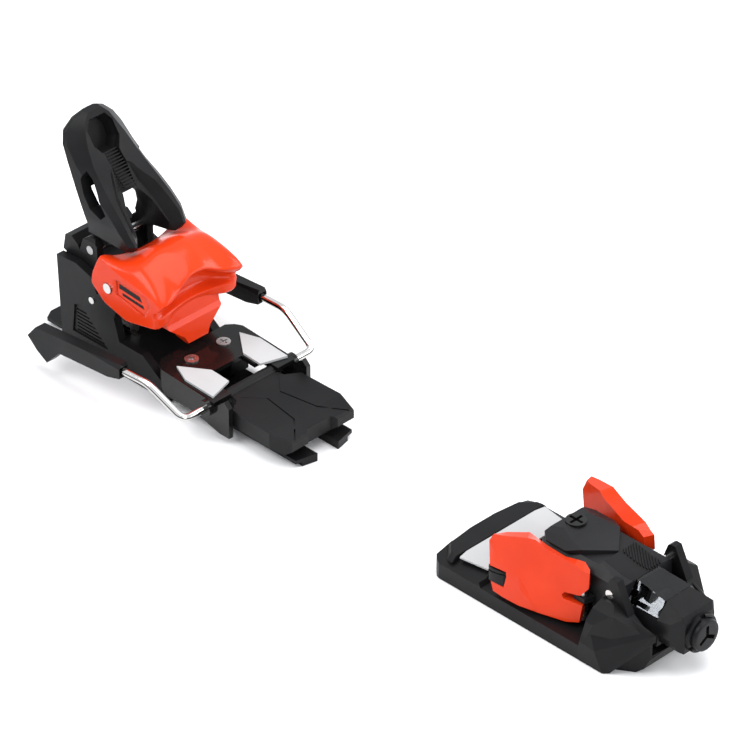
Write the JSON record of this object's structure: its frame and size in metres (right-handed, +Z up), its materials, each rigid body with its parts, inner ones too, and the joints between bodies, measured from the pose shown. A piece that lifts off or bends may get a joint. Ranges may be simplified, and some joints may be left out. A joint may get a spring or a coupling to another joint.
{
  "type": "ski binding",
  "caption": "Step-in ski binding: toe piece with two hinged wings and sliding boot plate, heel piece with cup, opening lever, length carriage and ski brake.",
  "frame": {"origin": "centre of the toe screw pattern on the ski's top face", "axes": "+X towards the ski tip, +Y to the skier's left, +Z up from the ski"},
  "size_m": [0.5605, 0.13, 0.1657],
  "materials": {
    "black_plastic": "satin",
    "orange_plastic": "glossy",
    "white_plastic": "satin",
    "grey_plastic": "satin",
    "clear_plastic": "clear",
    "indicator_plastic": "glossy",
    "bright_steel": "polished",
    "steel": "brushed",
    "black_steel": "satin"
  },
  "bodies": {
    "base": {"toe_base": "black_plastic", "tilt_pin": "bright_steel", "height_nut": "steel", "slide_carrier": "black_plastic", "heel_track": "black_plastic"},
    "slide_plate": {"slide_plate": "white_plastic"},
    "toe_unit": {"toe_housing": "grey_plastic", "toe_cover": "grey_plastic", "toe_window": "clear_plastic", "toe_cap": "black_plastic", "wing_pin_left": "steel", "wing_pin_right": "steel", "toe_spring": "steel"},
    "height_screw": {"height_screw": "black_steel"},
    "left_wing": {"wing_left": "orange_plastic", "wing_pad_left": "black_plastic"},
    "right_wing": {"wing_right": "orange_plastic", "wing_pad_right": "black_plastic"},
    "toe_piston": {"toe_rod": "steel", "toe_spring_seat": "steel"},
    "toe_adjuster": {"toe_adjusting_screw": "black_plastic"},
    "toe_indicator": {"toe_indicator": "indicator_plastic"},
    "heel_carriage": {"heel_chassis": "black_plastic", "spring_housing": "black_plastic", "heel_cover_plate": "black_plastic", "heel_post": "black_plastic", "heel_pad_left": "white_plastic", "heel_pad_right": "white_plastic", "plate_screw_left": "steel", "plate_screw_right": "steel", "chassis_pin_left": "bright_steel", "chassis_pin_right": "bright_steel", "heel_spring": "steel", "cup_axle": "bright_steel", "lever_axle": "steel"},
    "length_screw": {"length_screw": "steel"},
    "heel_plunger": {"plunger": "steel"},
    "heel_adjuster": {"heel_adjusting_screw": "black_steel"},
    "heel_indicator": {"heel_indicator": "indicator_plastic"},
    "heel_cup": {"heel_cup": "orange_plastic", "heel_tread": "orange_plastic"},
    "heel_lever": {"heel_lever": "black_plastic"},
    "brake": {"brake_wire": "bright_steel", "brake_arm_left": "black_plastic", "brake_arm_right": "black_plastic"},
    "brake_pedal": {"brake_pedal": "black_plastic"}
  },
  "joints": [
    {"name": "toe_tilt", "type": "hinge", "parent": "base", "child": "toe_unit", "pos_m": [0.0507, 0, 0.0448], "axis": [0, 1, 0], "range_deg": [-1, 3]},
    {"name": "height_screw_turn", "type": "hinge", "parent": "toe_unit", "child": "height_screw", "pos_m": [-0.0038, 0, 0.05], "axis": [0, 0, 1], "range_deg": [-230, 690]},
    {"name": "left_wing_swing", "type": "hinge", "parent": "toe_unit", "child": "left_wing", "pos_m": [0.028, 0.026, 0.04], "axis": [0, 0, -1], "range_deg": [0, 30]},
    {"name": "right_wing_swing", "type": "hinge", "parent": "toe_unit", "child": "right_wing", "pos_m": [0.028, -0.026, 0.04], "axis": [0, 0, 1], "range_deg": [0, 30]},
    {"name": "toe_piston_slide", "type": "slide", "parent": "toe_unit", "child": "toe_piston", "axis": [-1, 0, 0], "range_m": [0, 0.007], "deforming": ["toe_spring"]},
    {"name": "toe_adjuster_turn", "type": "hinge", "parent": "toe_unit", "child": "toe_adjuster", "pos_m": [0.09, 0, 0.027], "axis": [1, 0, 0], "range_deg": [-720, 720]},
    {"name": "toe_indicator_slide", "type": "slide", "parent": "toe_unit", "child": "toe_indicator", "axis": [1, 0, 0], "range_m": [-0.00401, 0.00401]},
    {"name": "slide_plate_slide", "type": "slide", "parent": "base", "child": "slide_plate", "axis": [0, 1, 0], "range_m": [-0.008, 0.008]},
    {"name": "carriage_slide", "type": "slide", "parent": "base", "child": "heel_carriage", "axis": [1, 0, 0], "range_m": [-0.01, 0.01]},
    {"name": "length_screw_turn", "type": "hinge", "parent": "heel_carriage", "child": "length_screw", "pos_m": [-0.4, 0, 0.0122], "axis": [1, 0, 0], "range_deg": [-901, 901]},
    {"name": "plunger_slide", "type": "slide", "parent": "heel_carriage", "child": "heel_plunger", "axis": [-1, 0, 0], "range_m": [0, 0.003], "deforming": ["heel_spring"]},
    {"name": "heel_adjuster_turn", "type": "hinge", "parent": "heel_carriage", "child": "heel_adjuster", "pos_m": [-0.43, 0, 0.048], "axis": [1, 0, 0], "range_deg": [-720, 720]},
    {"name": "heel_indicator_slide", "type": "slide", "parent": "heel_carriage", "child": "heel_indicator", "axis": [1, 0, 0], "range_m": [-0.0026, 0.0026]},
    {"name": "heel_lever_swing", "type": "hinge", "parent": "heel_carriage", "child": "heel_lever", "pos_m": [-0.4082, 0, 0.0774], "axis": [0, 1, 0], "range_deg": [-50, 0]},
    {"name": "heel_cup_swing", "type": "hinge", "parent": "heel_carriage", "child": "heel_cup", "pos_m": [-0.379, 0, 0.0674], "axis": [0, 1, 0], "range_deg": [-35.1, 0]},
    {"name": "brake_swing", "type": "hinge", "parent": "heel_carriage", "child": "brake", "pos_m": [-0.2883, 0, 0.0195], "axis": [0, 1, 0], "range_deg": [-62, 0]},
    {"name": "brake_pedal_swing", "type": "hinge", "parent": "heel_carriage", "child": "brake_pedal", "pos_m": [-0.2883, 0, 0.0195], "axis": [0, 1, 0], "range_deg": [-53, 0]}
  ],
  "couplings": [
    {"joint": "height_screw_turn", "follows": "toe_tilt", "ratio": 228},
    {"joint": "toe_indicator_slide", "follows": "toe_adjuster_turn", "m_per_rad": 0.00031831},
    {"joint": "length_screw_turn", "follows": "carriage_slide", "rad_per_m": 1570.8},
    {"joint": "heel_indicator_slide", "follows": "heel_adjuster_turn", "m_per_rad": 0.00019894},
    {"joint": "heel_cup_swing", "follows": "heel_lever_swing", "ratio": 0.7},
    {"joint": "brake_pedal_swing", "follows": "brake_swing", "ratio": 0.85}
  ]
}
